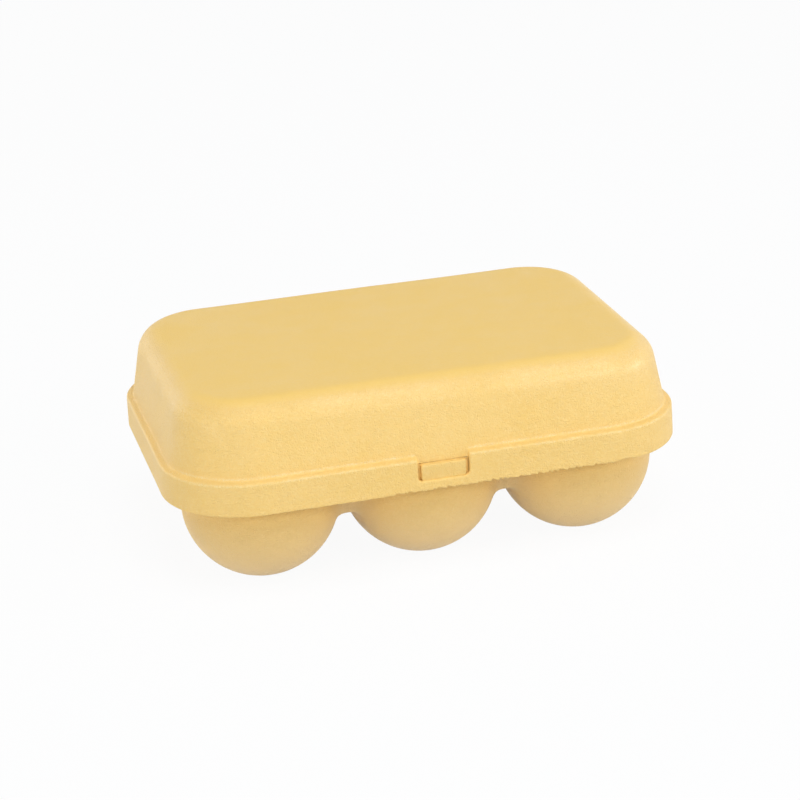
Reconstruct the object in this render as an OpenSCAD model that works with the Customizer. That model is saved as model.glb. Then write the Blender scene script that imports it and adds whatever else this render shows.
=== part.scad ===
// Six-egg box moulded in paper pulp: two rows of three round cups under a domed lid.
// X runs along the box, Y from front to back and Z is up, in millimetres.
// The origin is on the table, under the middle of the box. The lid is drawn closed.

/* [Pulp] */
// Thickness of the moulded pulp wall
wall = 1.5; // [1.2:0.1:1.8]

/* [Cups] */
// Outside radius of a cup
cup_r = 24.1; // [23:0.1:25.5]
// Distance between cups along the box
pitch_x = 49.7; // [48.5:0.1:52]
// Distance between the front and back rows
pitch_y = 53.6; // [52:0.1:56]
// Radius of the flat that a cup stands on
foot_r = 4.3; // [3:0.1:6]
// Height of the straight collar above a cup's ball
collar_h = 6.8; // [5:0.1:9]
// How far the saddles between cups lie below the cups' widest level
saddle_drop = 5.2; // [3:0.1:7]
// Radius of the hollow blend between neighbouring cups
blend_r = 6; // [5:0.1:7.5]

/* [Posts] */
// Radius of a centre post at its foot
post_foot_r = 10.5; // [9:0.1:11.5]
// Radius of a centre post at its top
post_top_r = 6; // [5:0.1:7]
// Gap between a post and the inside of the roof
post_gap = 1; // [0.5:0.1:3]

/* [Rim] */
// Width of the flat rim outside the cups
rim_w = 3.9; // [3.2:0.1:6]
// Gap between the rim and the inside of the skirt
skirt_gap = 0.8; // [0.7:0.05:1.2]
// How far the skirt hangs below the rim
skirt_drop = 0.3; // [0.1:0.05:0.6]
// Thickness of the rim's thin lip along the hinge
lip_t = 1; // [0.8:0.1:1.2]
// How far the lip stays back from the lid's rear face
lip_set_back = 0.5; // [0.4:0.05:0.8]

/* [Lid] */
// Corner radius of the skirt, seen from above
corner_r = 27; // [24:0.5:29]
// Height of the lid over all
lid_h = 32; // [29:0.5:38]
// Height of the skirt
skirt_h = 9.5; // [9:0.1:11]
// How far the skirt leans in over its height
skirt_lean = 0.2; // [0.1:0.05:0.5]
// Width of the shoulder above the skirt
ledge_w = 2.2; // [1.6:0.1:3]
// How far the shoulder rises towards the dome
ledge_rise = 0.6; // [0.3:0.05:0.9]
// Lean of the dome's walls from upright, in degrees
dome_lean = 10.9; // [8:0.1:13]
// Radius of the rounded roof edge
roof_r = 9.1; // [6:0.1:11]

/* [Latch] */
// Width of the latch window in the skirt
window_w = 15.8; // [14:0.1:20]
// Height of the strip of skirt left under the window
strip_h = 3.35; // [3:0.05:4]
// Height at which the dome's wall ends in the window, above the skirt's edge
window_top = 8; // [7.5:0.1:8.5]
// Corner radius at the foot of the window
window_r = 1.2; // [0.6:0.1:1.6]
// Gap all round the latch button
button_gap = 0.9; // [0.5:0.1:1.3]
// Gap between the button and the end of the dome's wall, and above the strip
button_slit = 0.4; // [0.3:0.05:0.5]
// Gap that lets the strip of skirt swing past the button
swing_gap = 0.6; // [0.5:0.05:1]
// Width of the folded locking flap
flap_w = 40; // [30:1:60]
// Height of the flap's top above the skirt's lower edge
flap_top = 15; // [12:0.5:16]
// Radius of the flap's upper corners
flap_r = 5; // [3:0.5:6]

/* [Hidden] */
$fn = 96;
pulp = [0.98, 0.85, 0.58];
past = 1;
margin = rim_w + skirt_gap + wall;
box_l = 2 * (pitch_x + cup_r + margin);
box_w = pitch_y + 2 * (cup_r + margin);
ball_z = sqrt(cup_r * cup_r - foot_r * foot_r);
rim_z = ball_z + collar_h;
skirt_z = rim_z - skirt_drop;
saddle_z = ball_z - saddle_drop;
post_top_z = skirt_z + lid_h - wall - post_gap;
hinge_slit = 0.3;
crease_h = skirt_drop + lip_t + hinge_slit;
side_x = box_l - 2 * corner_r;
side_y = box_w - 2 * corner_r;
lip_l = side_x - 6;
cup_x = [-pitch_x, 0, pitch_x];
cup_y = [-pitch_y / 2, pitch_y / 2];
// Distance from the line through two cups' centres to the centre of the blend between them
reach_x = sqrt(pow(cup_r + blend_r, 2) - pow(pitch_x / 2, 2));
reach_y = sqrt(pow(cup_r + blend_r, 2) - pow(pitch_y / 2, 2));
blend_y = pitch_y / 2 + reach_x;
blend_x = pitch_x + reach_y;

// The lid's section, as points of inset from the skirt's foot and height above it
skirt_foot = [0, 0];
skirt_top = [skirt_lean, skirt_h];
dome_foot = skirt_top + [ledge_w, ledge_rise];
up_dome = [sin(dome_lean), cos(dome_lean)];
roof_bend = [
    dome_foot.x + (lid_h - roof_r - dome_foot.y) * tan(dome_lean) + roof_r / cos(dome_lean),
    lid_h - roof_r
];

function unit(v) = v / norm(v);
// Inward side of a line that climbs the lid's section
function inward(u) = [u.y, -u.x];
function meet(p, u, q, v) = p + u * cross(q - p, v) / cross(u, v);
// The same section moved inward by t: foot at the given height, top of skirt, foot of dome
function section(t, low) = let (
    up_skirt = unit(skirt_top - skirt_foot),
    up_ledge = unit(dome_foot - skirt_top),
    a = skirt_foot + t * inward(up_skirt),
    b = skirt_top + t * inward(up_ledge),
    c = dome_foot + t * inward(up_dome)
) [
    meet(a, up_skirt, [0, low], [1, 0]),
    meet(a, up_skirt, b, up_ledge),
    meet(b, up_ledge, c, up_dome)
];
// Point at a height on the dome's wall line, moved inward by t
function dome_line(t, z) = meet(dome_foot + t * inward(up_dome), up_dome, [0, z], [1, 0]);

// Half of the lid's section, from the corner's axis out to the surface t inside the lid's own
module section_area(t, low) {
    s = section(t, low);
    r = roof_r - t;
    bend = [corner_r - roof_bend.x, roof_bend.y];
    polygon([
        [0, low],
        [corner_r - s[0].x, s[0].y],
        [corner_r - s[1].x, s[1].y],
        [corner_r - s[2].x, s[2].y],
        bend + r * [cos(dome_lean), sin(dome_lean)],
        bend,
        bend + [0, r],
        [0, roof_bend.y + r]
    ]);
    intersection() {
        translate(bend) circle(r);
        translate(bend) square(r + past);
    }
}

// One straight side of the lid's form, running along X with its face towards +Y
module lid_side(length, t, low) {
    rotate([90, 0, 90])
        linear_extrude(length, center = true)
            section_area(t, low);
}

// The lid's full form: its section carried round a rounded rectangle
module lid_form(t, low) {
    for (sx = [0, 1], sy = [0, 1])
        mirror([sx, 0, 0]) mirror([0, sy, 0])
            translate([side_x / 2, side_y / 2, 0])
                rotate_extrude(angle = 90) section_area(t, low);
    for (turn = [0, 180]) {
        rotate(turn) translate([0, side_y / 2, 0]) lid_side(side_x, t, low);
        rotate(turn + 90) translate([0, side_x / 2, 0]) lid_side(side_y, t, low);
    }
    translate([-side_x / 2, -side_y / 2, low]) cube([side_x, side_y, lid_h - t - low]);
}

// Carries a section drawn as inset and height along X at the front of the box
module along_front(length) {
    translate([0, -box_w / 2, 0])
        rotate([90, 0, 90])
            linear_extrude(length, center = true)
                children();
}

// Plate with two rounded corners, drawn in X and Z and cut through from the front
module front_shape(width, low, high, r, round_top) {
    y = round_top ? high - r : low + r;
    translate([0, -box_w / 2 + 20, 0])
        rotate([90, 0, 0])
            linear_extrude(40)
                union() {
                    translate([-width / 2, round_top ? low : y])
                        square([width, round_top ? y - low : high - y]);
                    translate([-width / 2 + r, low]) square([width - 2 * r, high - low]);
                    for (side = [-1, 1])
                        translate([side * (width / 2 - r), y]) circle(r);
                }
}

// What the window takes out: the skirt and the shoulder, in front of the dome's own wall
module window_cut() {
    high = dome_foot.y + 2;
    intersection() {
        along_front(window_w)
            polygon([
                [-past, strip_h],
                [dome_line(wall, window_top).x + past, strip_h],
                [dome_line(wall, window_top).x + past, window_top],
                dome_line(0, window_top),
                dome_line(0, high),
                [-past, high]
            ]);
        front_shape(window_w, strip_h, high + past, window_r, false);
    }
}

// The dome's wall carried down behind the shoulder to the head of the window
module window_head() {
    high = dome_foot.y + 1;
    along_front(window_w)
        polygon([
            dome_line(0, window_top),
            dome_line(wall, window_top),
            dome_line(wall, high),
            dome_line(0, high)
        ]);
}

// Solid of the six cups, their saddles and collars, offset by grow from the outside surface
module cup_form(grow, floor_z, high) {
    for (x = cup_x, y = cup_y) translate([x, y, 0]) {
        intersection() {
            translate([0, 0, ball_z]) sphere(cup_r + grow);
            translate([-cup_r, -cup_r, 0]) cube([2 * cup_r, 2 * cup_r, ball_z]);
        }
        translate([0, 0, ball_z]) cylinder(h = high - ball_z, r = cup_r + grow);
    }
    translate([0, 0, ball_z]) linear_extrude(high - ball_z) difference() {
        polygon([
            [-pitch_x, -pitch_y / 2], [-pitch_x / 2, -blend_y], [0, -pitch_y / 2],
            [pitch_x / 2, -blend_y], [pitch_x, -pitch_y / 2], [blend_x, 0],
            [pitch_x, pitch_y / 2], [pitch_x / 2, blend_y], [0, pitch_y / 2],
            [-pitch_x / 2, blend_y], [-pitch_x, pitch_y / 2], [-blend_x, 0]
        ]);
        for (sx = [-1, 1], sy = [-1, 1])
            translate([sx * pitch_x / 2, sy * blend_y]) circle(blend_r - grow);
        for (sx = [-1, 1])
            translate([sx * blend_x, 0]) circle(blend_r - grow);
    }
    intersection() {
        translate([-box_l / 2, -box_w / 2, floor_z]) cube([box_l, box_w, ball_z - floor_z]);
        union() {
            for (x = [-pitch_x / 2, pitch_x / 2], y = cup_y)
                translate([x, y, ball_z]) rotate([0, 90, 0]) neck(pitch_x, reach_x, grow);
            for (x = [-pitch_x, pitch_x])
                translate([x, 0, ball_z]) rotate([90, 0, 0]) neck(pitch_y, reach_y, grow);
        }
    }
    translate([-pitch_x, -pitch_y / 2, floor_z]) cube([2 * pitch_x, pitch_y, ball_z - floor_z]);
}

// Hollow-sided neck that a ball of the blend's radius leaves between two cups
module neck(pitch, reach, grow) {
    rotate_extrude() intersection() {
        translate([0, -pitch / 2]) square([reach, pitch]);
        difference() {
            polygon([[0, -pitch / 2], [reach, 0], [0, pitch / 2]]);
            translate([reach, 0]) circle(blend_r - grow);
        }
    }
}

module post_form(t, low, high) {
    taper = (post_foot_r - post_top_r) / (post_top_z - saddle_z);
    for (x = [-pitch_x / 2, pitch_x / 2])
        translate([x, 0, low])
            cylinder(
                h = high - low,
                r1 = post_foot_r - t - (low - saddle_z) * taper,
                r2 = post_foot_r - t - (high - saddle_z) * taper
            );
}

module rim_plate() {
    inset = wall + skirt_gap;
    r = corner_r - inset;
    translate([0, 0, rim_z]) linear_extrude(wall) union() {
        square([box_l - 2 * inset, side_y], center = true);
        square([side_x, box_w - 2 * inset], center = true);
        for (sx = [-1, 1], sy = [-1, 1])
            translate([sx * side_x / 2, sy * side_y / 2]) circle(r);
    }
    translate([-lip_l / 2, box_w / 2 - inset - past, rim_z])
        cube([lip_l, inset + past - lip_set_back, lip_t]);
}

// Locking flap, folded up from the front of the rim behind the lid's wall, with its button
module locking_flap() {
    face = wall + swing_gap;
    low = skirt_drop + wall / 2;
    button_low = strip_h + button_slit;
    button_high = window_top - button_slit;
    intersection() {
        along_front(flap_w)
            polygon([
                dome_line(face, low), dome_line(face + wall, low),
                dome_line(face + wall, flap_top), dome_line(face, flap_top)
            ]);
        front_shape(flap_w, 0, flap_top, flap_r, true);
    }
    along_front(window_w - 2 * button_gap)
        polygon([
            [face, button_low],
            dome_line(face + wall / 2, button_low),
            dome_line(face + wall / 2, button_high),
            [face, button_high]
        ]);
}

module egg_tray() {
    color(pulp) union() {
        difference() {
            union() {
                cup_form(0, saddle_z, rim_z);
                rim_plate();
            }
            cup_form(-wall, saddle_z + wall, rim_z + wall + past);
            post_form(wall, saddle_z - past, saddle_z + wall);
        }
        difference() {
            post_form(0, saddle_z + wall / 2, post_top_z);
            post_form(wall, saddle_z, post_top_z - wall);
        }
        translate([0, 0, skirt_z]) locking_flap();
    }
}

module lid() {
    color(pulp) translate([0, 0, skirt_z]) union() {
        difference() {
            lid_form(0, 0);
            lid_form(wall, -past);
            window_cut();
            translate([-side_x / 2, box_w / 2 - wall - past, -past])
                cube([side_x, wall + 2 * past, past + crease_h]);
        }
        window_head();
    }
}

egg_tray();
lid();
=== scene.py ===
"""Six-egg box in moulded paper pulp: its surfaces, finishes, light and camera.

Shapes are worked out in millimetres in the row's frame, X along the box, Y from the latch to the crease
and Z up from the table, and go into their meshes in metres.
"""

import math

import bmesh
import bpy
import numpy as np
from mathutils import Matrix, Vector


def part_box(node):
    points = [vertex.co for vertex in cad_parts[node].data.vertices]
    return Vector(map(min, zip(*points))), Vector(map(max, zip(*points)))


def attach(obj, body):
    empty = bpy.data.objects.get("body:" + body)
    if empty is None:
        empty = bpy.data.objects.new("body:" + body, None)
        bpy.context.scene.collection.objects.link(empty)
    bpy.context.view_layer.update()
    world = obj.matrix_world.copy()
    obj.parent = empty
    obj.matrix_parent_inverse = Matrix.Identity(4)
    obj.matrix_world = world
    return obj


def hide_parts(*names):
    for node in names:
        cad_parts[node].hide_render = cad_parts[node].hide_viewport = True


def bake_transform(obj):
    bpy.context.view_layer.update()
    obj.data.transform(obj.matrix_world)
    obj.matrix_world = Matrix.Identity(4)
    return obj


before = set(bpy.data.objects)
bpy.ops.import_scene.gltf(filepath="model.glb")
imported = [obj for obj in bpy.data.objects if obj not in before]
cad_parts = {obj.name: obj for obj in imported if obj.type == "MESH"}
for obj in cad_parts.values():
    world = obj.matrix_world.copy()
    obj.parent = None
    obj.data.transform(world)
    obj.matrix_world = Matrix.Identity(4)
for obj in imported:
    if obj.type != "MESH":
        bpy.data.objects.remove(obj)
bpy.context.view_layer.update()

MM = 0.001

# Sizes of the box, in millimetres
WALL = 1.5
CUP_R = 24.1
PITCH_X = 49.7
PITCH_Y = 53.6
FOOT_R = 4.3
COLLAR_H = 6.8
SADDLE_DROP = 5.2
SADDLE_SAG = 1.1
BLEND_R = 6.0
POST_FOOT_R = 10.5
POST_TOP_R = 6.0
POST_GAP = 1.0
CORNER_R = 27.0
SKIRT_H = 9.5
SKIRT_LEAN = 0.2
SKIRT_GAP = 0.8
SKIRT_DROP = 0.3
SKIRT_SAG = 0.42
LEDGE_W = 2.2
LEDGE_RISE = 0.6
DOME_LEAN = math.radians(10.9)
ROOF_R = 9.1
LIP_T = 1.0
HINGE_SLIT = 0.3

# Sizes of the latch: its window, its button, the step round the button and the flap that carries them
WINDOW_W = 15.8
WINDOW_TOP = 8.0
WINDOW_R = 1.2
WINDOW_SHIFT = 0.35
STRIP_H = 2.85
BUTTON_GAP = 1.0
BUTTON_SLIT = 0.25
BUTTON_INSET = 0.2
BUTTON_LEAN = 0.1
BUTTON_R = 0.7
BUTTON_EDGE_R = 0.45
STEP_INSET = 1.75
STEP_SIDE_GAP = 0.02
STEP_HEAD_GAP = 0.08
SWING_GAP = 0.6
FLAP_W = 40.0
FLAP_TOP = 15.0
FLAP_R = 5.0
LATCH_REACH = 9

# Radii of the lid's smaller edges
SHOULDER_R = 0.75
SHOULDER_INNER_R = 0.25
CREASE_R = 0.7
CREASE_INNER_R = 0.9
EDGE_R = 0.6
FOOT_EDGE_R = 0.3

# Share of the notch's depth that its rolled edge may take
ROLL_SHARE = 0.45

# What follows from them and from the frame
lid_low, lid_high = (np.array(corner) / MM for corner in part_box("lid"))
HALF_L = lid_high[0]
HALF_W = lid_high[1]
SKIRT_Z = lid_low[2]
ROOF_Z = lid_high[2]
LID_H = ROOF_Z - SKIRT_Z
BALL_Z = math.sqrt(CUP_R ** 2 - FOOT_R ** 2)
RIM_Z = BALL_Z + COLLAR_H
SADDLE_Z = BALL_Z - SADDLE_DROP
POST_TOP_Z = ROOF_Z - WALL - POST_GAP
CREASE_H = SKIRT_DROP + LIP_T + HINGE_SLIT
SIDE_X = HALF_L - CORNER_R
SIDE_Y = HALF_W - CORNER_R
REACH_X = math.sqrt((CUP_R + BLEND_R) ** 2 - (PITCH_X / 2) ** 2)
REACH_Y = math.sqrt((CUP_R + BLEND_R) ** 2 - (PITCH_Y / 2) ** 2)


def smooth(t):
    """Smoothstep: 0 below 0, 1 above 1 and an S curve between them."""
    t = np.clip(t, 0.0, 1.0)
    return t * t * (3 - 2 * t)


def drift(a, b, c=0.0, seed=0, waves=7):
    """Slow unevenness from about -1 to 1: a mean of sine waves with seeded directions, lengths and phases."""
    draw = np.random.default_rng(seed)
    total = 0.0
    for _ in range(waves):
        turn = draw.normal(size=3)
        turn /= np.linalg.norm(turn)
        length = draw.uniform(0.6, 1.7)
        phase = draw.uniform(0, 2 * math.pi)
        total = total + np.sin((turn[0] * a + turn[1] * b + turn[2] * c) / length + phase)
    return total * 1.6 / waves


# Meshes

SHARP_ANGLE = math.radians(50)


def new_piece(name, points, faces, material):
    """Puts points in millimetres and faces into a mesh object in metres."""
    mesh = bpy.data.meshes.new(name)
    mesh.from_pydata((points * MM).tolist(), [], faces.tolist())
    mesh.materials.append(material)
    mesh.validate()
    piece = bpy.data.objects.new(name, mesh)
    bpy.context.scene.collection.objects.link(piece)
    return piece


def weld(piece, distance=0.002):
    """Merges the points that lie on each other, turns the faces outward and shades them smooth.

    Edges sharper than the sharp angle stay sharp.
    """
    work = bmesh.new()
    work.from_mesh(piece.data)
    bmesh.ops.remove_doubles(work, verts=work.verts, dist=distance * MM)
    bmesh.ops.dissolve_degenerate(work, edges=work.edges, dist=distance * MM)
    bmesh.ops.recalc_face_normals(work, faces=work.faces)
    work.to_mesh(piece.data)
    work.free()
    piece.data.polygons.foreach_set("use_smooth", np.ones(len(piece.data.polygons), bool))
    piece.data.set_sharp_from_angle(angle=SHARP_ANGLE)


def soften(piece, width, angle):
    """Rounds every edge sharper than the angle, as pulp leaves no sharp edge."""
    bevel = piece.modifiers.new("soft edges", "BEVEL")
    bevel.width = width * MM
    bevel.segments = 2
    bevel.limit_method = "ANGLE"
    bevel.angle_limit = math.radians(angle)


def grid_quads(rows, cols, around):
    """Quads of a grid, as rows by columns by 4 corners. Around closes the columns to a ring."""
    index = np.arange(rows * cols).reshape(rows, cols)
    right = np.roll(index, -1, axis=1) if around else index[:, 1:]
    left = index if around else index[:, :-1]
    return np.stack([left[:-1], right[:-1], right[1:], left[1:]], axis=-1)


def open_edges(quads, count):
    """The edges that only one of the quads uses, as pairs of point numbers."""
    sides = np.concatenate([quads[:, [k, (k + 1) % 4]] for k in range(4)])
    keys = sides.min(axis=1).astype(np.int64) * count + sides.max(axis=1)
    _, first, uses = np.unique(keys, return_index=True, return_counts=True)
    return sides[first[uses == 1]]


def close_shell(outer, inner, quads):
    """Joins an outer skin and its inner skin, which share their quads, into one closed shell.

    The inner skin's quads are turned over, and each open edge gets a quad between the skins.
    """
    count = len(outer)
    rim = open_edges(quads, count)
    walls = np.stack([rim[:, 1], rim[:, 0], rim[:, 0] + count, rim[:, 1] + count], axis=-1)
    return np.concatenate([outer, inner]), np.concatenate([quads, quads[:, ::-1] + count, walls])


# The lid

def unit(v):
    """The direction of v, as a vector of length 1."""
    v = np.asarray(v, float)
    return v / np.linalg.norm(v)


def inward(u):
    """The direction into the wall from a line of the section that runs along u."""
    return np.array([u[1], -u[0]])


def meet(p, u, q, v):
    """Where the line through p along u meets the line through q along v."""
    gap = np.asarray(q) - p
    return p + u * ((gap[0] * v[1] - gap[1] * v[0]) / (u[0] * v[1] - u[1] * v[0]))


SKIRT_FOOT = np.array([0.0, 0.0])
SKIRT_TOP = np.array([SKIRT_LEAN, SKIRT_H])
DOME_FOOT = SKIRT_TOP + [LEDGE_W, LEDGE_RISE]
UP_SKIRT = unit(SKIRT_TOP - SKIRT_FOOT)
UP_LEDGE = unit(DOME_FOOT - SKIRT_TOP)
UP_DOME = np.array([math.sin(DOME_LEAN), math.cos(DOME_LEAN)])
LEVEL = np.array([1.0, 0.0])


def dome_line(depth, height):
    """Point of the dome's wall line at a height, with the line moved inward by depth."""
    return meet(DOME_FOOT + depth * inward(UP_DOME), UP_DOME, np.array([0.0, height]), LEVEL)


def straight(start, end, steps):
    """Points from start towards end, without the end itself."""
    t = np.arange(steps)[:, None] / steps
    return start + (end - start) * t


def bend(before, corner, after, radius, steps):
    """Arc that rounds a corner of a line, from where its circle touches one side to the other side."""
    a = unit(np.asarray(before) - corner)
    b = unit(np.asarray(after) - corner)
    half = math.acos(np.clip(np.dot(a, b), -1, 1)) / 2
    reach = radius / math.tan(half)
    centre = corner + unit(a + b) * radius / math.sin(half)
    start = corner + a * reach - centre
    end = corner + b * reach - centre
    turn = math.pi - 2 * half
    t = np.linspace(0, 1, steps)[:, None]
    return centre + (np.sin((1 - t) * turn) * start + np.sin(t * turn) * end) / math.sin(turn)


# Heights of the lid's rows as shares of the strip under the window and of the window, then counts of rows
STRIP_SHARES = np.array([0, 0.03, 0.08, 0.16, 0.3, 0.5, 0.68, 0.81, 0.9, 0.96])
WINDOW_SHARES = np.array([0, 0.06, 0.14, 0.25, 0.45, 0.65, 0.85])
SHOULDER_ROWS = 6
CREASE_ROWS = 5
DOME_ROWS = 14
ROOF_BEND_ROWS = 14
ROOF_ROWS = 12

# Distances of the columns from the window's edge, where the even ones start, and counts of the even ones
NEAR_WINDOW = np.array([0, 0.05, 0.14, 0.28, 0.45, 0.65, 0.95, 1.3])
EVEN_START = 1.7
FRONT_COLUMNS = 120
WINDOW_COLUMNS = 33
CORNER_COLUMNS = 29
END_COLUMNS = 32
BACK_COLUMNS = 80


def lid_rows(depth):
    """The lid's section moved inward by depth, as two lists of inset and height with the same rows.

    The first runs up the skirt, over the shoulder and up the dome to the roof. The second is the section
    inside the window, where the dome's own wall runs straight down to the window's head.
    """
    edge = SKIRT_FOOT + depth * inward(UP_SKIRT)
    shelf = SKIRT_TOP + depth * inward(UP_LEDGE)
    wall = DOME_FOOT + depth * inward(UP_DOME)
    foot = meet(edge, UP_SKIRT, SKIRT_FOOT, LEVEL)
    strip_top = meet(edge, UP_SKIRT, np.array([0.0, STRIP_H]), LEVEL)
    head = meet(edge, UP_SKIRT, np.array([0.0, WINDOW_TOP]), LEVEL)
    shoulder = meet(edge, UP_SKIRT, shelf, UP_LEDGE)
    crease = meet(shelf, UP_LEDGE, wall, UP_DOME)
    roof_edge = meet(wall, UP_DOME, np.array([0.0, LID_H - depth]), LEVEL)
    crease_r = CREASE_R if depth == 0 else CREASE_INNER_R
    over_shoulder = bend(head, shoulder, crease, max(SHOULDER_R - depth, SHOULDER_INNER_R), SHOULDER_ROWS)
    at_crease = bend(shoulder, crease, roof_edge, crease_r, CREASE_ROWS)
    over_roof = bend(crease, roof_edge, roof_edge + LEVEL, ROOF_R - depth, ROOF_BEND_ROWS)
    low = [
        foot + (strip_top - foot) * STRIP_SHARES[:, None],
        strip_top + (head - strip_top) * WINDOW_SHARES[:, None],
    ]
    middle = np.concatenate([
        straight(head, over_shoulder[0], 2),
        over_shoulder,
        straight(over_shoulder[-1], at_crease[0], 4)[1:],
        at_crease,
    ])
    high = [straight(at_crease[-1], over_roof[0], DOME_ROWS)[1:], over_roof]
    bare = np.linspace(dome_line(depth, WINDOW_TOP), at_crease[-1], len(middle))
    closed = np.concatenate(low + [middle] + high)
    opened = np.concatenate(low + [bare] + high)
    return closed, opened


def lid_path():
    """Columns round the lid from its left front: centre point, outward direction and window weight.

    The two columns at each side of the window stand at the same place, one with the shoulder and one without.
    """
    half = WINDOW_W / 2
    even = np.linspace(EVEN_START - half, half - EVEN_START, WINDOW_COLUMNS)
    within = np.concatenate([NEAR_WINDOW - half, even, half - NEAR_WINDOW[::-1]])
    out = np.concatenate([half + NEAR_WINDOW, np.linspace(half + EVEN_START, SIDE_X, FRONT_COLUMNS)])
    front_x = np.concatenate([-out[::-1], within, out])
    in_window = np.concatenate([np.zeros(len(out)), np.ones(len(within)), np.zeros(len(out))])
    side_y = np.linspace(-SIDE_Y, SIDE_Y, END_COLUMNS)
    back_x = np.linspace(SIDE_X, -SIDE_X, BACK_COLUMNS)

    def run(x, y, out_x, out_y, window=0.0):
        return np.stack(np.broadcast_arrays(x, y, out_x, out_y, window), axis=-1)

    def corner(x, y, start):
        angle = start + np.linspace(0, math.pi / 2, CORNER_COLUMNS + 2)[1:-1]
        return run(x, y, np.cos(angle), np.sin(angle))

    return np.concatenate([
        run(front_x, -SIDE_Y, 0.0, -1.0, in_window),
        corner(SIDE_X, -SIDE_Y, -math.pi / 2),
        run(SIDE_X, side_y, 1.0, 0.0),
        corner(SIDE_X, SIDE_Y, 0.0),
        run(back_x, SIDE_Y, 0.0, 1.0),
        corner(-SIDE_X, SIDE_Y, math.pi / 2),
        run(-SIDE_X, side_y[::-1], -1.0, 0.0),
        corner(-SIDE_X, -SIDE_Y, math.pi),
    ])


def rolled(away, radius):
    """How far a rounded edge has dropped away from it: its radius at the edge, nothing a radius away."""
    left = np.clip(radius - away, 0, radius)
    return radius - np.sqrt(np.maximum(radius ** 2 - left ** 2, 0))


def torn(x):
    """Height of the torn teeth along the skirt's front edge: each rises at once and then falls off."""
    count = 60
    first = -20
    draw = np.random.default_rng(21)
    starts = first + np.cumsum(draw.uniform(1.0, 3.2, count))
    peaks = draw.uniform(0.3, 0.95, count)
    tooth = np.clip(np.searchsorted(starts, x) - 1, 0, count - 2)
    past = (x - starts[tooth]) / (starts[tooth + 1] - starts[tooth])
    return peaks[tooth] * (1 - np.clip(past, 0, 1))


def foot_rise(x, y):
    """How far the skirt's foot rises: over the crease behind, worn all round, torn and hanging in front."""
    behind = smooth((SIDE_X + 0.7 - np.abs(x)) / 1.4) * (y > 0)
    torn_part = smooth((x + 18) / 5) * smooth((HALF_L - 14 - x) / 10) * (y < -SIDE_Y)
    worn = 0.06 + 0.05 * drift(x * 3, y * 3, seed=9) - SKIRT_SAG * smooth((-20 - y) / 30)
    return behind * CREASE_H + (1 - behind) * (worn + torn_part * torn(x))


def lid_skin(depth, path):
    """Points of the lid's skin at a depth: its section carried round the path, then the flat roof drawn in.

    A point is the path's centre point plus the outward direction times corner radius minus inset. Past the
    roof's edge each column runs straight to the roof's middle.
    """
    closed, opened = lid_rows(depth)
    step = closed - opened
    gap = np.hypot(step[:, 0], step[:, 1])
    weight = path[:, 4, None]
    from_edge = WINDOW_W / 2 - np.abs(path[:, 0])
    notch_r = np.minimum(EDGE_R, ROLL_SHARE * gap)
    hollow = rolled(from_edge, EDGE_R)[None, :] * (notch_r / EDGE_R)[:, None]
    towards = step / np.maximum(gap, 1e-6)[:, None]
    filled = opened[:, None] + towards[:, None] * hollow[..., None]
    section = closed[:, None] * (1 - weight) + filled * weight
    inset, height = section[..., 0].copy(), section[..., 1].copy()
    centre = path[None, :, 0:2]
    outward = path[None, :, 2:4]
    foot = (path[:, 0:2] + path[:, 2:4] * CORNER_R)[None] + 0 * section
    x_foot, y_foot = foot[..., 0], foot[..., 1]
    at_front = y_foot < -SIDE_Y
    in_window = weight[None, :, 0] > 0

    # The outer skin rolls in along the window's and the notch's edges, and along the skirt's foot
    if depth == 0:
        tangent = np.gradient(closed, axis=0)
        tangent /= np.linalg.norm(tangent, axis=1)[:, None]
        side = np.abs(x_foot) - (WINDOW_W / 2 - WINDOW_R)
        down = STRIP_H + WINDOW_R - height
        from_hole = np.maximum(np.maximum(side, down) - WINDOW_R, 0)
        radius = np.where(height < WINDOW_TOP, EDGE_R, notch_r[:, None])
        drop = rolled(from_hole, np.maximum(radius, 1e-6)) * at_front * ~in_window
        drop = np.where(in_window & (height < WINDOW_TOP - 1e-6), rolled(STRIP_H - height, EDGE_R), drop)
        drop = drop + rolled(height, FOOT_EDGE_R)
        inset += drop * tangent[:, None, 1]
        height -= drop * tangent[:, None, 0]

    height += foot_rise(x_foot, y_foot) * np.clip(1 - height / STRIP_H, 0, 1)
    slow = 0.09 * drift(x_foot / 12, y_foot / 12, height / 5, seed=2) * smooth(height / 12)
    plan = centre + outward * (CORNER_R - inset - slow)[..., None]

    # The flat roof, which sags a little
    ring = plan[-1]
    t = (np.arange(1, ROOF_ROWS + 1) / ROOF_ROWS)[:, None, None]
    plan = np.concatenate([plan, ring * (1 - t)])
    height = np.concatenate([height, np.broadcast_to(height[-1], (ROOF_ROWS, len(path)))])
    sag = 0.09 * drift(plan[..., 0] / 11, plan[..., 1] / 11, seed=5) - 0.1
    height = height + sag * smooth((height - 24) / 7)
    points = np.concatenate([plan, height[..., None] + SKIRT_Z], axis=-1)

    # The window's lower corners and its place
    x, z = round_corners(points[..., 0], height, WINDOW_W / 2 - WINDOW_R, STRIP_H + WINDOW_R, WINDOW_R, -1)
    at_window = points[..., 1] < -SIDE_Y
    points[..., 0] = np.where(at_window, off_centre(x), points[..., 0])
    points[..., 2] = np.where(at_window, z + SKIRT_Z, points[..., 2])
    return points


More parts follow.
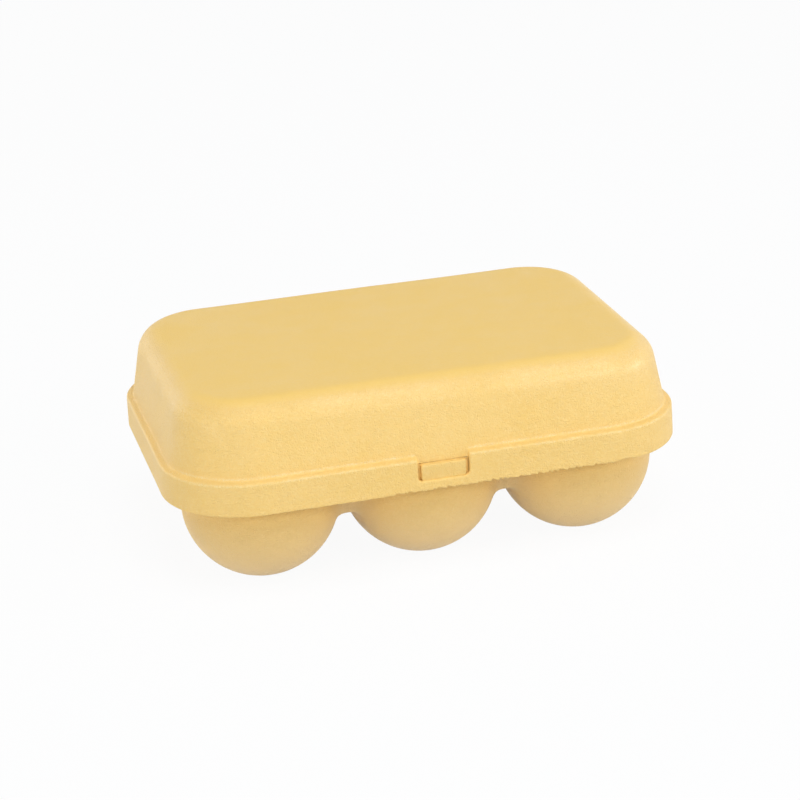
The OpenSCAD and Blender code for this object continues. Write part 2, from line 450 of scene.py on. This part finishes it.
def round_corners(x, z, corner_x, corner_z, radius, way):
    """Rounds two corners, left and right: the square rings round a corner's centre become circles.

    The change fades out past the radius, and way is 1 for upper corners and -1 for lower ones.
    """
    across = (np.abs(x) - corner_x) / radius
    along = way * (z - corner_z) / radius
    ring = np.maximum(across, along)
    near = (across > 0) & (along > 0)
    squeeze = ring / np.maximum(np.hypot(across, along), 1e-6)
    factor = 1 + (squeeze - 1) * (1 - smooth((ring - 1) / 1.4))
    new_x = np.where(near, np.sign(x) * (corner_x + across * factor * radius), x)
    new_z = np.where(near, corner_z + way * along * factor * radius, z)
    return new_x, new_z


def off_centre(x):
    """The latch and its window stand just right of the middle. The sheet beside them takes up the shift."""
    return x + WINDOW_SHIFT * (1 - smooth((np.abs(x) - LATCH_REACH) / 10))


def make_lid(material):
    """The lid's outer and inner skin, less the quads in the window, joined into one shell."""
    path = lid_path()
    outer = lid_skin(0.0, path)
    inner = lid_skin(WALL, path)
    rows, cols = outer.shape[:2]
    quads = grid_quads(rows, cols, True)
    both_in = (path[:, 4] > 0) & (np.roll(path[:, 4], -1) > 0)
    row = np.arange(rows - 1)
    in_hole = (row >= len(STRIP_SHARES)) & (row < len(STRIP_SHARES) + len(WINDOW_SHARES))
    keep = ~(in_hole[:, None] & both_in[None, :])
    points, faces = close_shell(outer.reshape(-1, 3), inner.reshape(-1, 3), quads[keep])
    lid = new_piece("lid_shell", points, faces, material)
    weld(lid)
    return lid


# The egg tray

class Contour:
    """Signed distance from the tray's underside, kept on a block of samples and softened a little.

    It is below zero above the sheet and inside the cups. The sheet lies between 0 and minus its wall.
    """

    def __init__(self, field, low, high, step, blur):
        self.low = np.array(low, float)
        self.step = step
        counts = np.ceil((np.array(high) - self.low) / step).astype(int) + 1
        axes = [self.low[k] + step * np.arange(counts[k]) for k in range(3)]
        values = field(*np.meshgrid(*axes, indexing="ij"))

        # Softened along each axis in turn with the same bell curve
        reach = int(math.ceil(3 * blur / step))
        taps = np.exp(-0.5 * (np.arange(-reach, reach + 1) * step / blur) ** 2)
        taps /= taps.sum()
        for axis in range(3):
            padded = np.pad(values, [(reach, reach) if k == axis else (0, 0) for k in range(3)], mode="edge")
            span = np.arange(counts[axis])
            values = sum(tap * np.take(padded, span + k, axis=axis) for k, tap in enumerate(taps))
        self.values = values
        self.slopes = np.stack(np.gradient(values, step), axis=-1)

    def read(self, points, table):
        """The table's value at each point, mixed from the eight samples round it."""
        place = (points - self.low) / self.step
        whole = np.clip(np.floor(place).astype(int), 0, np.array(self.values.shape) - 2)
        part = place - whole
        total = 0
        for corner in np.ndindex(2, 2, 2):
            share = np.prod(np.where(corner, part, 1 - part), axis=-1)
            value = table[tuple((whole + corner).T)]
            total = total + (share[:, None] * value if value.ndim > 1 else share * value)
        return total

    def settle(self, points, level, rounds=3):
        """Moves the points along the slope until the distance there equals the level."""
        for _ in range(rounds):
            slope = self.read(points, self.slopes)
            gap = self.read(points, self.values) - level
            points = points - slope * (gap / np.maximum((slope ** 2).sum(axis=-1), 0.2))[:, None]
        return points

    def skin(self):
        """Quads on the zero level: a point in each cell it crosses, a quad at each sample edge it cuts."""
        below = self.values < 0
        cells = np.array(below.shape) - 1
        total = np.zeros(cells, int)
        for corner in np.ndindex(2, 2, 2):
            total += below[tuple(slice(c, c + n) for c, n in zip(corner, cells))]
        crossed = (total > 0) & (total < 8)
        number = np.full(cells, -1)
        number[crossed] = np.arange(crossed.sum())
        points = self.low + (np.argwhere(crossed) + 0.5) * self.step
        quads = []
        for axis in range(3):
            side, other = [k for k in range(3) if k != axis]
            here = np.moveaxis(below, (axis, side, other), (0, 1, 2))
            name = np.moveaxis(number, (axis, side, other), (0, 1, 2))
            change = here[1:, 1:-1, 1:-1] != here[:-1, 1:-1, 1:-1]
            around = [name[:, :-1, :-1], name[:, 1:, :-1], name[:, 1:, 1:], name[:, :-1, 1:]]
            ring = np.stack(around, axis=-1)[change]
            rising = here[:-1, 1:-1, 1:-1][change]
            flip = rising if axis != 1 else ~rising
            ring[flip] = ring[flip][:, ::-1]
            quads.append(ring)
        return points, np.concatenate(quads)


def tray_field(x, y, z):
    """Signed distance from the tray's underside, from its plain solids.

    A cup is a ball below its widest level and a cylinder above it, cut by the table. The necks between two
    cups are the hollow that a ball of the blend's radius leaves. Over the saddles, and in the block between
    the four middle centres, the sheet lies at the saddle's height. The posts are cones that rise from it.
    """
    side, deep = np.abs(x), np.abs(y)
    column = np.where(side > PITCH_X / 2, side - PITCH_X, side)
    row = deep - PITCH_Y / 2
    drop = np.minimum(z - BALL_Z, 0)
    ball = np.sqrt(column ** 2 + row ** 2 + drop ** 2) - CUP_R

    def neck(along, across, pitch, reach):
        off = np.hypot(across, drop)
        within = (np.abs(along) < pitch / 2 * (1 - off / reach)) & (off < reach)
        return np.where(within, BLEND_R - np.hypot(along, off - reach), np.inf)

    open_x = neck(side - PITCH_X / 2, np.maximum(row, 0), PITCH_X, REACH_X)
    open_y = neck(y, np.maximum(side - PITCH_X, 0), PITCH_Y, REACH_Y)
    block = np.where((side < PITCH_X) & (deep < PITCH_Y / 2), -BLEND_R, np.inf)
    hollow = np.minimum(np.minimum(ball, block), np.minimum(open_x, open_y))
    trough = np.maximum(hollow, SADDLE_Z - SADDLE_SAG - z)
    sheet = np.minimum(np.maximum(ball, -z), trough)
    sheet = np.minimum(sheet, RIM_Z - z)
    taper = (POST_FOOT_R - POST_TOP_R) / (POST_TOP_Z - SADDLE_Z)
    radius = POST_FOOT_R - WALL - (z - SADDLE_Z) * taper
    post = np.maximum(np.hypot(side - PITCH_X / 2, y) - radius, z - (POST_TOP_Z - WALL))
    return np.maximum(sheet, -post)


def make_tray(material):
    """The tray's underside and its upper side, a wall above it, joined into one shell.

    The underside's points are evened out along the surface. Quads past the rim's outline go, and the edge
    that is left is drawn onto it.
    """
    step = 1.05
    blur = 0.85
    low = (-HALF_L - 1, -HALF_W - 1, -4)
    high = (HALF_L + 1, HALF_W + 1, POST_TOP_Z + 3)
    contour = Contour(tray_field, low, high, step, blur)
    points, quads = contour.skin()
    points = contour.settle(points, 0.0)

    # Each point goes part of the way to the mean of its neighbours, and back onto the surface
    for _ in range(3):
        total = np.zeros_like(points)
        count = np.zeros(len(points))
        for k in range(4):
            np.add.at(total, quads[:, k], points[quads[:, (k + 1) % 4]] + points[quads[:, (k - 1) % 4]])
            np.add.at(count, quads[:, k], 2)
        points = contour.settle(0.4 * points + 0.6 * total / np.maximum(count, 1)[:, None], 0.0, 2)

    rim_r = CORNER_R - WALL - SKIRT_GAP
    corner = np.clip(points[:, :2], [-SIDE_X, -SIDE_Y], [SIDE_X, SIDE_Y])
    away = points[:, :2] - corner
    far = np.hypot(away[:, 0], away[:, 1])
    inside = far < rim_r - 0.25 * step
    kept = quads[inside[quads].all(axis=1)]
    edge = np.unique(open_edges(kept, len(points)))
    points[edge, :2] = corner[edge] + away[edge] * (rim_r / far[edge])[:, None]

    slope = contour.read(points, contour.slopes)
    slope /= np.linalg.norm(slope, axis=1)[:, None]
    top = contour.settle(points - WALL * slope, -WALL, 3)
    top[edge, :2] = points[edge, :2]
    used = np.unique(kept)
    number = np.full(len(points), -1)
    number[used] = np.arange(len(used))
    shell, faces = close_shell(points[used], top[used], number[kept])
    tray = new_piece("cup_tray", shell, faces, material)
    weld(tray, distance=0.01)
    soften(tray, width=0.3, angle=60)
    return tray


# The locking flap and the crease

def make_flap(material):
    """Plate behind the lid's wall with the latch button pressed out of it: a grid over width and height.

    The button is a block with rolled edges. A lower step round it closes the window at its sides and head.
    """
    half = (WINDOW_W - 2 * BUTTON_GAP) / 2
    step_half = WINDOW_W / 2 - STEP_SIDE_GAP
    low = SKIRT_DROP + WALL / 2
    button_low, button_high = STRIP_H, WINDOW_TOP - BUTTON_SLIT
    step_high = WINDOW_TOP - STEP_HEAD_GAP
    rim = np.array([0, 0.08, 0.2, 0.4])
    edge = np.array([-0.8, -0.45, -0.25, -0.12, -0.02, 0, 0.02])
    side = np.concatenate([
        np.linspace(0, half - 1.2, 12)[1:],
        half + edge,
        [half + 0.35, step_half - 0.02, step_half, half + 1.0],
        np.linspace(half + 1.6, FLAP_W / 2 - 0.7, 21),
        FLAP_W / 2 - rim[::-1],
    ])
    across = np.concatenate([-side[::-1], [0], side])
    up = np.concatenate([
        low + rim,
        button_low + np.array([-0.5, -0.02, 0, 0.15, 0.35, 0.8]),
        np.linspace(button_low + 1.2, button_high - 1.2, 4),
        button_high + edge,
        [step_high - 0.02, step_high],
        np.linspace(button_high + 0.4, FLAP_TOP - 0.7, 13),
        FLAP_TOP - rim[::-1],
    ])
    x, z = np.meshgrid(across, up)
    off = np.abs(x)
    hair = 0.01
    raised = (off < half - hair) & (z > button_low - hair) & (z < button_high - hair)
    stepped = (off < step_half - hair) & (z > button_low - hair) & (z < step_high - hair)
    within = -np.maximum(np.maximum(off - half, button_low - z), z - button_high)
    roll = rolled(-np.maximum(off - half, z - button_high), BUTTON_EDGE_R)
    rim_roll = rolled(np.minimum(FLAP_W / 2 - off, np.minimum(FLAP_TOP - z, z - low)), EDGE_R)

    # Rounds the flap's upper corners, then the button's four
    lift = np.maximum(z - (FLAP_TOP - FLAP_R), 0) / FLAP_R
    shrink = FLAP_R * (1 - np.sqrt(np.maximum(1 - lift ** 2, 0)))
    x = np.sign(x) * (off - shrink * smooth((off - LATCH_REACH) / (FLAP_W / 2 - LATCH_REACH)))
    x, z = round_corners(x, z, half - BUTTON_R, button_high - BUTTON_R, BUTTON_R, 1)
    x, z = round_corners(x, z, half - BUTTON_R, button_low + BUTTON_R, BUTTON_R, -1)

    # Insets of the front and the rear, with a dent in the rear behind the button
    slant = DOME_FOOT[0] + (z - DOME_FOOT[1]) * math.tan(DOME_LEAN)
    plate = slant + (WALL + SWING_GAP) / math.cos(DOME_LEAN)
    button = BUTTON_INSET + (button_high - z) * BUTTON_LEAN + roll
    front = np.where(raised, button, np.where(stepped, STEP_INSET, plate + rim_roll))
    behind = plate + WALL / math.cos(DOME_LEAN) - rim_roll
    dent = smooth((within - 1.0) / 0.8)
    rear = behind * (1 - dent) + np.minimum(behind, front + WALL) * dent

    def placed(inset):
        return np.stack([off_centre(x), inset - HALF_W, z + SKIRT_Z], axis=-1).reshape(-1, 3)

    quads = grid_quads(*x.shape, False).reshape(-1, 4)
    points, faces = close_shell(placed(front), placed(rear), quads)
    flap = new_piece("locking_flap", points, faces, material)
    weld(flap)
    return flap


def make_crease(material):
    """The pulp's folded strip along the back: a thin section carried along X, from the rim into the lid."""
    half = SIDE_X - 3
    start = np.array([HALF_W - WALL - SKIRT_GAP - 1.2, RIM_Z + 0.5 * LIP_T])
    fold = np.array([HALF_W - 0.45, RIM_Z + 0.5 * LIP_T])
    end = np.array([HALF_W - 0.62, SKIRT_Z + CREASE_H + 0.5])
    line = np.concatenate([straight(start, fold, 6)[:-1], bend(start, fold, end, 0.5, 6), end[None]])
    along = np.gradient(line, axis=0)
    along /= np.linalg.norm(along, axis=1)[:, None]
    aside = np.stack([along[:, 1], -along[:, 0]], axis=-1)
    thick = np.linspace(0.45, 0.3, len(line))[:, None]
    x = np.linspace(-half, half, 120)
    uneven = 0.05 * drift(x, 0, seed=12)

    def skin(side):
        section = line + side * thick * aside
        y = section[:, 0, None] + uneven * 0.5
        z = section[:, 1, None] + 0 * x
        return np.stack([np.broadcast_to(x, y.shape), y, z], axis=-1).reshape(-1, 3)

    quads = grid_quads(len(line), len(x), False).reshape(-1, 4)
    points, faces = close_shell(skin(1), skin(-1), quads)
    crease = new_piece("hinge_crease", points, faces, material)
    weld(crease)
    return crease


# Finishes

class Value:
    """A shader socket in plain arithmetic: each operator adds a Math node."""

    def __init__(self, finish, socket):
        self.finish = finish
        self.socket = socket

    def math(self, operation, *values):
        return self.finish.node("ShaderNodeMath", {"operation": operation}, dict(enumerate(values)))

    def __add__(self, other):
        return self.math("ADD", self, other)

    def __sub__(self, other):
        return self.math("SUBTRACT", self, other)

    def __rsub__(self, other):
        return self.math("SUBTRACT", other, self)

    def __mul__(self, other):
        return self.math("MULTIPLY", self, other)

    def __abs__(self):
        return self.math("ABSOLUTE", self)

    def larger(self, other):
        return self.math("MAXIMUM", self, other)

    __radd__ = __add__
    __rmul__ = __mul__


class Finish:
    """The nodes of a material or a world."""

    def __init__(self, owner, output="ShaderNodeOutputMaterial"):
        self.owner = owner
        owner.use_nodes = True
        self.tree = owner.node_tree
        self.tree.nodes.clear()
        self.output = self.tree.nodes.new(output)

    def node(self, kind, settings=None, values=None, out=0):
        """Adds a node, sets its settings, then the values or links of its sockets, and gives one output."""
        made = self.tree.nodes.new(kind)
        for key, setting in (settings or {}).items():
            if key == "stops":
                ramp = made.color_ramp
                for _ in range(len(setting) - 2):
                    ramp.elements.new(0.5)
                for stop, (place, colour) in zip(ramp.elements, setting):
                    stop.position = place
                    stop.color = colour
            else:
                setattr(made, key, setting)
        for key, value in (values or {}).items():
            socket = made.inputs[key]
            if isinstance(value, Value):
                self.tree.links.new(value.socket, socket)
            else:
                socket.default_value = value
        return Value(self, made.outputs[out])

    def surface(self, value):
        """Ends the nodes with a shader, and gives back the material or the world."""
        self.tree.links.new(value.socket, self.output.inputs["Surface"])
        return self.owner

    def background_ray(self):
        """1 on the rays that show the background: those of the camera, of gloss and of glass."""
        kinds = ("Camera", "Glossy", "Transmission")
        camera, gloss, glass = (self.node("ShaderNodeLightPath", out="Is %s Ray" % kind) for kind in kinds)
        return camera.larger(gloss.larger(glass))

    def noise(self, where, size, detail=2.0, rough=0.5, stretch=None):
        """Cloudy pattern with lumps about size millimetres across, from 0 to 1."""
        if stretch:
            where = self.node("ShaderNodeVectorMath", {"operation": "MULTIPLY"}, {0: where, 1: stretch})
        values = {"Vector": where, "Scale": 1 / (size * MM), "Detail": detail, "Roughness": rough}
        return self.node("ShaderNodeTexNoise", {}, values)

    def contrast(self, value, low, high):
        """Stretches low to high over 0 to 1 and cuts off what lies past them."""
        return self.node("ShaderNodeMapRange", {"clamp": True}, {0: value, 1: low, 2: high, 3: 0.0, 4: 1.0})

    def band(self, value, low, full, fade, high):
        """Rises from 0 to 1 between low and full, and falls back between fade and high."""
        return self.contrast(value, low, full) * self.contrast(value, high, fade)

    def mixed(self, factor, a, b):
        """Colour a where the factor is 0, colour b where it is 1."""
        return self.node("ShaderNodeMix", {"data_type": "RGBA"}, {"Factor": factor, 6: a, 7: b}, out=2)


WHITE = (1.0, 1.0, 1.0, 1.0)


def linear(red, green, blue):
    """A colour given as it shows on a screen, 0 to 255, as a shader wants it."""
    def one(c):
        c = c / 255
        return c / 12.92 if c <= 0.04045 else ((c + 0.055) / 1.055) ** 2.4
    return (one(red), one(green), one(blue), 1.0)


class Pulp(Finish):
    """Dyed paper pulp: soft mottling and fine speckle in the colour, and a felted grain for the bump."""

    def __init__(self, name, body, pale, deep):
        super().__init__(bpy.data.materials.new(name))
        self.where = self.node("ShaderNodeTexCoord", out=3)
        place = {"Vector": self.where}
        axes = [self.node("ShaderNodeSeparateXYZ", {}, place, out=axis) for axis in range(3)]
        self.x, self.y, self.z = axes
        cloud = self.noise(self.where, 30, 2, 0.5)
        mottle = self.noise(self.where, 8, 3, 0.6)
        fleck = self.noise(self.where, 1.3, 2, 0.6)
        fibre = self.noise(self.where, 0.7, 2, 0.6, stretch=(0.6, 1.0, 1.5))
        self.grit = self.noise(self.where, 0.4, 1.0, 0.5)
        tone = self.contrast(mottle * 0.5 + cloud * 0.5, 0.34, 0.66)
        self.colour = self.mixed(tone, deep, body)
        self.tint(self.contrast(fleck * 0.5 + fibre * 0.5, 0.45, 0.75) * 0.35, pale)
        self.tint(self.contrast(self.grit, 0.52, 0.72) * 0.1, deep)
        self.tint(self.contrast(self.grit, 0.47, 0.25) * 0.3, pale)
        self.grain = self.grit * 1.1 + fibre * 0.5 + fleck * 0.3
        self.rough = 0.33 + 0.1 * fleck + 0.16 * tone

    def tint(self, factor, colour):
        """Mixes a colour into the pulp's own by a factor that may vary over the surface."""
        self.colour = self.mixed(factor, self.colour, colour)

    def dry(self, gloss):
        """The material: a dry fibrous surface, with a thin pressed gloss over it where gloss is above 0."""
        bump = self.node("ShaderNodeBump", {}, {"Strength": 1.0, "Distance": 0.0003, "Height": self.grain})
        return self.surface(self.node("ShaderNodeBsdfPrincipled", {}, {
            "Base Color": self.colour,
            "Roughness": self.rough,
            "Normal": bump,
            "Specular IOR Level": 0.5,
            "Coat Weight": gloss,
            "Coat Roughness": 0.36,
            "Coat IOR": 1.5,
        }))


# Heights, in metres, at which the look of an edge or of the roof's bend starts, is full, fades and ends
SHOULDER_EDGE = (0.0390, 0.0393, 0.0397, 0.0400)
SHOULDER_CREASE = (0.0403, 0.0406, 0.0409, 0.0413)
ROOF_BEND = (0.0500, 0.0570, 0.0604, 0.0620)

# How much gloss the roof's bend has, from the left end at 0 to the right end at 1
BEND_GLOSS = [
    (0.06, 0.0), (0.09, 0.45), (0.15, 0.1), (0.24, 0.1), (0.3, 0.75),
    (0.52, 0.7), (0.59, 0.15), (0.66, 1.0), (0.92, 1.0), (0.98, 0.0),
]


def lid_finish():
    """The lid's pulp: smooth and painted a deeper yellow on the roof, with pale painted highlight lines on
    the shoulder's two edges, glossy on the roof's bend.

    The gloss lies in patches where the drying mould pressed the sheet hardest.
    """
    body, pale, deep = linear(249, 210, 127), linear(255, 228, 160), linear(246, 205, 116)
    pulp = Pulp("lid_pulp", body, pale, deep)
    # Painted light: the flat roof is tinted a deeper yellow, the tone this lighting gives it with less pale
    # reflection than the walls
    flat = pulp.contrast(pulp.z, 0.0604, 0.0618)
    pressed = pulp.contrast(pulp.z, 0.0595, 0.0615)
    pulp.tint(flat * 0.85, linear(255, 215, 117))
    pulp.grain = pulp.grain * (1 - 0.5 * pressed)

    # Painted highlight lines along the shoulder's edge and its crease, which stop at the window and fade at
    # the ends
    specks = pulp.contrast(pulp.grit, 0.62, 0.38)
    uneven = pulp.contrast(pulp.noise(pulp.where, 5, 2, 0.6), 0.35, 0.6)
    at_end = pulp.contrast(abs(pulp.x), 0.0745, 0.0765)
    edge = pulp.band(pulp.z, *SHOULDER_EDGE)
    crease = pulp.band(pulp.z, *SHOULDER_CREASE) * (1 - at_end)
    beside = pulp.contrast(abs(pulp.x - WINDOW_SHIFT * MM), 0.0079, 0.0086)
    away = beside.larger(pulp.contrast(pulp.y, 0.0, 0.01))
    painted_highlight_lines = (edge * 0.6 + crease * 0.9) * (0.2 + 0.8 * specks) * (0.35 + 0.65 * uneven)
    painted_highlight_lines = painted_highlight_lines * away * (1 - 0.6 * at_end)
    # Painted highlight: the lines are tinted pale, as the lamps' gleam along these edges
    pulp.tint(painted_highlight_lines * 0.6, linear(255, 236, 184))

    stops = [(place, (level, level, level, 1)) for place, level in BEND_GLOSS]
    along = pulp.contrast(pulp.x, -0.08, 0.08)
    patches = pulp.node("ShaderNodeValToRGB", {"stops": stops}, {0: along})
    gloss = patches * pulp.band(pulp.z, *ROOF_BEND) * (0.35 + 0.65 * specks)
    return pulp.dry(gloss + painted_highlight_lines * 0.5 + 0.03)


def tray_finish():
    """The tray's pulp: paler towards the feet and on the webs between cups, painted light from the floor
    below, and deeper up at the collars, painted shade under the lid's skirt.
    """
    body, pale, deep = linear(246, 205, 122), linear(253, 220, 146), linear(241, 199, 113)
    pulp = Pulp("tray_pulp", body, pale, deep)
    # Painted light: a pale, greyer colour for where light thrown up from the floor shows, towards the feet
    # and on the webs
    painted_bounce_pale = linear(240, 210, 155)
    low = pulp.contrast(pulp.z, 0.026, 0.005)
    from_web = abs(abs(pulp.x) - PITCH_X / 2 * MM)
    web = pulp.contrast(from_web, 0.0085, 0.0030) * pulp.contrast(pulp.z, 0.0275, 0.0240)
    painted_skirt_shade = pulp.contrast(pulp.z, 0.0255, 0.0295)
    pulp.tint(low * 0.85, painted_bounce_pale)
    pulp.tint(web * 0.6, painted_bounce_pale)
    # Painted shade: the cups' collars up under the lid's skirt are tinted a deeper, darker orange, the shade
    # the skirt casts there
    pulp.tint(painted_skirt_shade * 0.75, linear(231, 186, 97))
    return pulp.dry(0.0)


def studio_white():
    """The floor: white to the camera and a pale matte surface to the light, so the object's shadow stays.

    It is clear from below, so the underside can be looked at.
    """
    floor = Finish(bpy.data.materials.new("studio_floor"))
    matte = floor.node("ShaderNodeBsdfDiffuse", {}, {"Color": (0.9, 0.93, 0.97, 1.0)})
    white = floor.node("ShaderNodeEmission", {}, {"Color": WHITE, "Strength": 1.0})
    lit = floor.node("ShaderNodeMixShader", {}, {0: floor.background_ray() * 0.94, 1: matte, 2: white})
    under = floor.node("ShaderNodeNewGeometry", out=6)
    clear = floor.node("ShaderNodeBsdfTransparent")
    return floor.surface(floor.node("ShaderNodeMixShader", {}, {0: under, 1: lit, 2: clear}))


def studio_air(strength):
    """World: an even light of that strength, which is white to the camera and to reflections."""
    air = Finish(bpy.data.worlds.new("studio_air"), "ShaderNodeOutputWorld")
    level = air.background_ray() * (1 - strength) + strength
    return air.surface(air.node("ShaderNodeBackground", {}, {"Color": WHITE, "Strength": level}))


# Scene

lid_pulp = lid_finish()
tray_pulp = tray_finish()

lid = make_lid(lid_pulp)
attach(lid, "lid")
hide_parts("lid")

tray = make_tray(tray_pulp)
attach(tray, "tray")
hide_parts("egg_tray")

flap = make_flap(lid_pulp)
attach(flap, "tray")

crease = make_crease(lid_pulp)
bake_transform(crease)


def lay_floor(size, material):
    """A flat square at the height that the box stands on."""
    half = size / 2
    corners = [(-half, -half, 0), (half, -half, 0), (half, half, 0), (-half, half, 0)]
    mesh = bpy.data.meshes.new("studio_floor")
    mesh.from_pydata(corners, [], [(0, 1, 2, 3)])
    mesh.materials.append(material)
    floor = bpy.data.objects.new("studio_floor", mesh)
    bpy.context.scene.collection.objects.link(floor)


def soft_box(name, place, wide, high, power):
    """White area lamp at a place, aimed at the box, in metres and watts."""
    lamp = bpy.data.lights.new(name, "AREA")
    lamp.shape = "RECTANGLE"
    lamp.size = wide
    lamp.size_y = high
    lamp.energy = power
    box = bpy.data.objects.new(name, lamp)
    box.location = place
    box.rotation_euler = (Vector((0, 0, 0.03)) - Vector(place)).to_track_quat("-Z", "Y").to_euler()
    bpy.context.scene.collection.objects.link(box)


lay_floor(6.0, studio_white())
bpy.context.scene.world = studio_air(0.27)
soft_box("top_front_box", (0.0, -0.74, 1.586), 0.9, 0.9, 13.4)
soft_box("left_box", (-1.6, -0.6, 0.3), 0.9, 0.5, 7.2)
soft_box("right_box", (1.65, -0.5, 0.34), 0.9, 0.55, 8.4)
soft_box("front_box", (0.7, -1.4, 0.75), 0.6, 0.35, 4.7)
soft_box("rear_box", (-0.8, 1.35, 0.22), 0.7, 0.35, 3.6)


def aim_camera():
    """The camera at the photograph's angle: azimuth, elevation and roll round the box, then a small pan."""
    azimuth, elevation, roll = (math.radians(a) for a in (-13.5495, 18.6806, -3.3373))
    pan_a, pan_b = math.radians(0.2368), math.radians(1.5491)
    distance = 764.042
    focal_px = 2449.107
    frame_px = 800
    target = np.array([0.0, 0.0, 30.0 + SKIRT_Z])
    back = np.array([
        math.sin(azimuth) * math.cos(elevation),
        -math.cos(azimuth) * math.cos(elevation),
        math.sin(elevation),
    ])
    right = np.array([math.cos(azimuth), math.sin(azimuth), 0.0])
    up = np.cross(back, right)
    right, up = (
        right * math.cos(roll) + up * math.sin(roll),
        up * math.cos(roll) - right * math.sin(roll),
    )
    rows = np.array([right, up, back])
    about_y = np.array(Matrix.Rotation(pan_a, 3, "Y"))
    about_x = np.array(Matrix.Rotation(pan_b, 3, "X"))
    turn = Matrix((about_x @ about_y @ rows).T.tolist()).to_4x4()
    lens = bpy.data.cameras.new("photo_camera")
    lens.sensor_width = 36.0
    lens.lens = focal_px / frame_px * lens.sensor_width
    camera = bpy.data.objects.new("photo_camera", lens)
    camera.matrix_world = Matrix.Translation(Vector((target + back * distance) * MM)) @ turn
    bpy.context.scene.collection.objects.link(camera)
    bpy.context.scene.camera = camera


aim_camera()
bpy.context.scene.view_settings.view_transform = "Standard"
